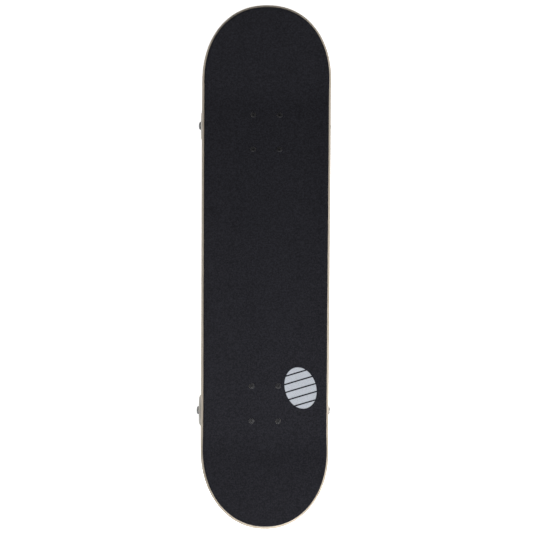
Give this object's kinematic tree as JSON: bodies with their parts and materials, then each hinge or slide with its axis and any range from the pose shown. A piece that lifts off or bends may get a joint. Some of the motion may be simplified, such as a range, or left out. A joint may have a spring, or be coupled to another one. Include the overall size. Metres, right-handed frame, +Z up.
{
  "type": "skateboard",
  "caption": "Street skateboard with a kicked maple deck, black grip tape, two steering kingpin trucks and urethane wheels on ball bearings.",
  "frame": {"origin": "on the ground under the middle of the deck, at the centre of the bounding box's base", "axes": "+Z up, +Y along the deck towards the nose, +X to the right of someone facing the nose"},
  "size_m": [0.213, 0.8004, 0.1384],
  "materials": {
    "maple_ply": "satin lacquer over rotary-cut veneer",
    "grip_tape": "black silicon carbide grit",
    "black_steel": "black oxide",
    "zinc_steel": "bright zinc plate",
    "bearing_steel": "ground steel",
    "cast_aluminium": "cast, tumbled and part polished",
    "wheel_urethane": "white urethane, satin",
    "bushing_urethane": "poured urethane",
    "pivot_urethane": "moulded urethane"
  },
  "bodies": {
    "board": {"deck": "maple_ply", "grip_tape": "grip_tape", "front_outer_left_bolt": "black_steel", "front_outer_left_nut": "zinc_steel", "front_outer_right_bolt": "black_steel", "front_outer_right_nut": "zinc_steel", "front_inner_left_bolt": "black_steel", "front_inner_left_nut": "zinc_steel", "front_inner_right_bolt": "black_steel", "front_inner_right_nut": "zinc_steel", "rear_outer_left_bolt": "black_steel", "rear_outer_left_nut": "zinc_steel", "rear_outer_right_bolt": "black_steel", "rear_outer_right_nut": "zinc_steel", "rear_inner_left_bolt": "black_steel", "rear_inner_left_nut": "zinc_steel", "rear_inner_right_bolt": "black_steel", "rear_inner_right_nut": "zinc_steel", "front_baseplate": "cast_aluminium", "front_pivot_cup": "pivot_urethane", "front_kingpin": "zinc_steel", "front_kingpin_nut": "zinc_steel", "front_board_side_washer": "zinc_steel", "front_road_side_washer": "zinc_steel", "front_board_side_bushing": "bushing_urethane", "front_road_side_bushing": "bushing_urethane", "rear_baseplate": "cast_aluminium", "rear_pivot_cup": "pivot_urethane", "rear_kingpin": "zinc_steel", "rear_kingpin_nut": "zinc_steel", "rear_board_side_washer": "zinc_steel", "rear_road_side_washer": "zinc_steel", "rear_board_side_bushing": "bushing_urethane", "rear_road_side_bushing": "bushing_urethane"},
    "front_truck": {"front_hanger": "cast_aluminium", "front_axle": "zinc_steel", "front_left_bearing_sleeve": "zinc_steel", "front_left_axle_nut": "zinc_steel", "front_right_bearing_sleeve": "zinc_steel", "front_right_axle_nut": "zinc_steel"},
    "rear_truck": {"rear_hanger": "cast_aluminium", "rear_axle": "zinc_steel", "rear_left_bearing_sleeve": "zinc_steel", "rear_left_axle_nut": "zinc_steel", "rear_right_bearing_sleeve": "zinc_steel", "rear_right_axle_nut": "zinc_steel"},
    "front_left_rolling": {"front_left_wheel": "wheel_urethane", "front_left_inboard_bearing": "bearing_steel", "front_left_outboard_bearing": "bearing_steel"},
    "front_right_rolling": {"front_right_wheel": "wheel_urethane", "front_right_inboard_bearing": "bearing_steel", "front_right_outboard_bearing": "bearing_steel"},
    "rear_left_rolling": {"rear_left_wheel": "wheel_urethane", "rear_left_inboard_bearing": "bearing_steel", "rear_left_outboard_bearing": "bearing_steel"},
    "rear_right_rolling": {"rear_right_wheel": "wheel_urethane", "rear_right_inboard_bearing": "bearing_steel", "rear_right_outboard_bearing": "bearing_steel"}
  },
  "joints": [
    {"name": "front_truck_steer", "type": "hinge", "parent": "board", "child": "front_truck", "pos_m": [0, 0.23801, 0.06638], "axis": [0, 0.8482, 0.5297], "range_deg": [-15, 15], "stiffness_Nm_per_rad": 60, "deforming": ["front_board_side_bushing", "front_road_side_bushing"]},
    {"name": "rear_truck_steer", "type": "hinge", "parent": "board", "child": "rear_truck", "pos_m": [0, -0.24426, 0.06638], "axis": [0, -0.8482, 0.5297], "range_deg": [-15, 15], "stiffness_Nm_per_rad": 60, "deforming": ["rear_board_side_bushing", "rear_road_side_bushing"]},
    {"name": "front_left_wheel_spin", "type": "hinge", "parent": "front_truck", "child": "front_left_rolling", "pos_m": [-0.087, 0.22401, 0.02587], "axis": [1, 0, 0], "continuous": true},
    {"name": "front_right_wheel_spin", "type": "hinge", "parent": "front_truck", "child": "front_right_rolling", "pos_m": [0.087, 0.22401, 0.02587], "axis": [1, 0, 0], "continuous": true},
    {"name": "rear_left_wheel_spin", "type": "hinge", "parent": "rear_truck", "child": "rear_left_rolling", "pos_m": [-0.087, -0.23026, 0.02587], "axis": [1, 0, 0], "continuous": true},
    {"name": "rear_right_wheel_spin", "type": "hinge", "parent": "rear_truck", "child": "rear_right_rolling", "pos_m": [0.087, -0.23026, 0.02587], "axis": [1, 0, 0], "continuous": true}
  ]
}
